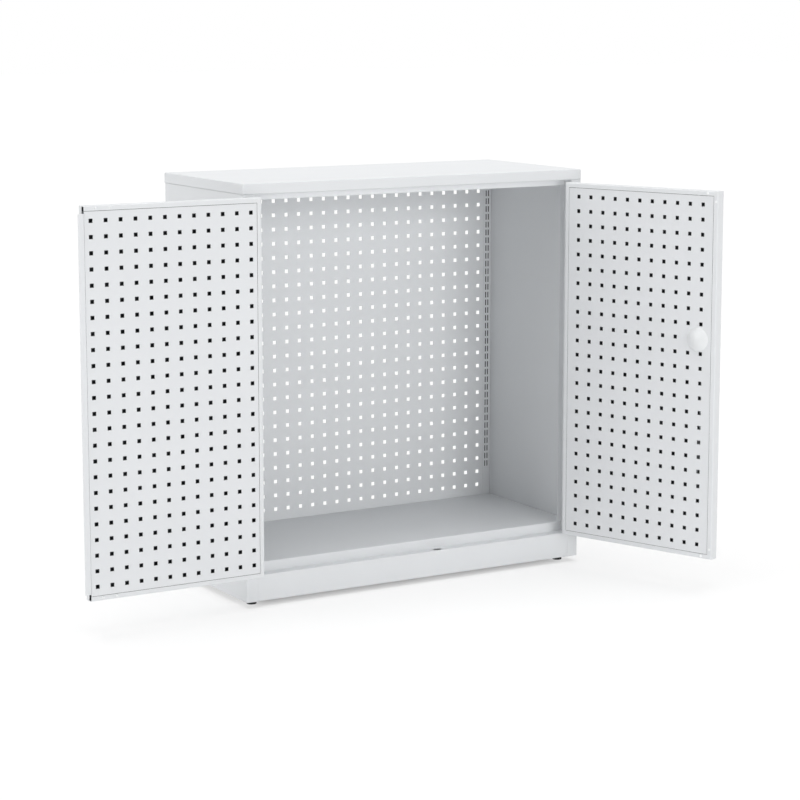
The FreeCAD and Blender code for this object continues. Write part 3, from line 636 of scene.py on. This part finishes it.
# %% Helper for what the camera and reflections see
def seen_or_mirrored(tree):
    """1 for a ray from the camera, a reflection or glass, and 0 for any other."""
    ray = add_node(tree, "ShaderNodeLightPath", {})
    seen = add_node(tree, "ShaderNodeMath", {
        0: ray.outputs["Is Camera Ray"], 1: ray.outputs["Is Glossy Ray"]}, operation="MAXIMUM")
    seen = add_node(tree, "ShaderNodeMath", {
        0: seen.outputs[0], 1: ray.outputs["Is Transmission Ray"]}, operation="MAXIMUM")
    return seen.outputs[0]


# %% Floor
FLOOR_SIZE = 80
GLOW_SHARE = 0.6
UNDER_EDGE = 100 * MM
low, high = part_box("plinth_front")
FOOTPRINT = Vector((high.x, -low.y, 0))
bpy.ops.mesh.primitive_plane_add(size=FLOOR_SIZE, location=(0, 0, 0))
floor = start("floor")
white, tree = new_material("white_floor")
place = add_node(tree, "ShaderNodeTexCoord", {})
away = add_node(tree, "ShaderNodeVectorMath", {0: place.outputs["Object"]}, operation="ABSOLUTE")
over = add_node(tree, "ShaderNodeVectorMath", {
    0: away.outputs["Vector"], 1: FOOTPRINT}, operation="SUBTRACT")
axes = add_node(tree, "ShaderNodeSeparateXYZ", {"Vector": over.outputs["Vector"]})
edge = add_node(tree, "ShaderNodeMath", {
    0: axes.outputs["X"], 1: axes.outputs["Y"]}, operation="MAXIMUM")
# Painted shade: the glow fades out under the plinth.
lift = add_node(tree, "ShaderNodeMapRange", {
    "Value": edge.outputs[0], "From Min": -UNDER_EDGE, "From Max": 0.0,
    "To Min": 0.0, "To Max": GLOW_SHARE})
share = add_node(tree, "ShaderNodeMath", {
    0: seen_or_mirrored(tree), 1: lift.outputs["Result"]}, operation="MULTIPLY")
matt = add_node(tree, "ShaderNodeBsdfDiffuse", {"Color": paint("#FCFCFC")})
glow = add_node(tree, "ShaderNodeEmission", {"Color": paint("#FFFFFF"), "Strength": 1.0})
mixed = add_node(tree, "ShaderNodeMixShader", {
    "Fac": share.outputs[0], 1: matt.outputs["BSDF"], 2: glow.outputs["Emission"]})
add_node(tree, "ShaderNodeOutputMaterial", {"Surface": mixed.outputs["Shader"]})
floor.data.materials.append(white)
print("floor: glow share", GLOW_SHARE, "outside", [round(v, 3) for v in FOOTPRINT])

# %% [markdown]
# ## Light
# The light in the photograph is broad and soft. An even white world fills the shadows, and three wide lamps
# stand for softboxes: one in front for the doors and the back, a weaker one from the left for the side and the
# right door's lining, and a strong one overhead that makes the top the brightest face. Together they give
# about as much light as lets a colour render as it is written.

# %% World
WORLD_LEVEL = 0.29
world = bpy.data.worlds.new("studio")
bpy.context.scene.world = world
world.use_nodes = True
tree = world.node_tree
tree.nodes.clear()
lit = add_node(tree, "ShaderNodeBackground", {"Color": paint("#FFFFFF"), "Strength": WORLD_LEVEL})
shown = add_node(tree, "ShaderNodeBackground", {"Color": paint("#FFFFFF"), "Strength": 1.0})
mixed = add_node(tree, "ShaderNodeMixShader", {
    "Fac": seen_or_mirrored(tree), 1: lit.outputs["Background"], 2: shown.outputs["Background"]})
add_node(tree, "ShaderNodeOutputWorld", {"Surface": mixed.outputs["Shader"]})
print("world", WORLD_LEVEL)

# %% Lamps
SOFTBOXES = {
    # name: direction from the cabinet to the lamp, level on a surface that faces it, width in degrees
    "front_softbox": ((0.0, -0.995, 0.10), 0.42, 30),
    "left_softbox": ((-0.95, 0.05, 0.30), 0.25, 40),
    "overhead_softbox": ((0.0, 0.04, 1.0), 0.69, 60),
}
for name, (towards, level, width_deg) in SOFTBOXES.items():
    bpy.ops.object.light_add(type="SUN", location=(0, 0, 4))
    lamp = bpy.context.active_object
    lamp.name = name
    lamp.data.energy = level * math.pi
    lamp.data.angle = math.radians(width_deg)
    lamp.rotation_euler = Vector(towards).to_track_quat("Z", "Y").to_euler()
print("lamps", {name: level for name, (_, level, _) in SOFTBOXES.items()})

# %% [markdown]
# ## Camera
# The photograph was taken with a long lens from about six metres, a little above the cabinet and 30 degrees
# to its left. Its uprights are parallel, which a shift lens or a later correction gives. Only a small shift is
# used here, and the camera tilts down for the rest, so that the cabinet stays in the frame when the camera is
# moved round it.

# %% Camera
EYE = (-3.0550, -5.2786, 1.4971)
YAW_DEG, PITCH_DEG = 30.681, 8.547
SENSOR_MM, LENS_MM = 36, 104.876
SHIFT = -0.06
bpy.ops.object.camera_add(
    location=EYE, rotation=(math.radians(90 - PITCH_DEG), 0, math.radians(-YAW_DEG)))
camera = bpy.context.active_object
camera.data.sensor_width = SENSOR_MM
camera.data.lens = LENS_MM
camera.data.shift_y = SHIFT
bpy.context.scene.camera = camera
bpy.context.scene.view_settings.view_transform = "Standard"
print("camera at", EYE)
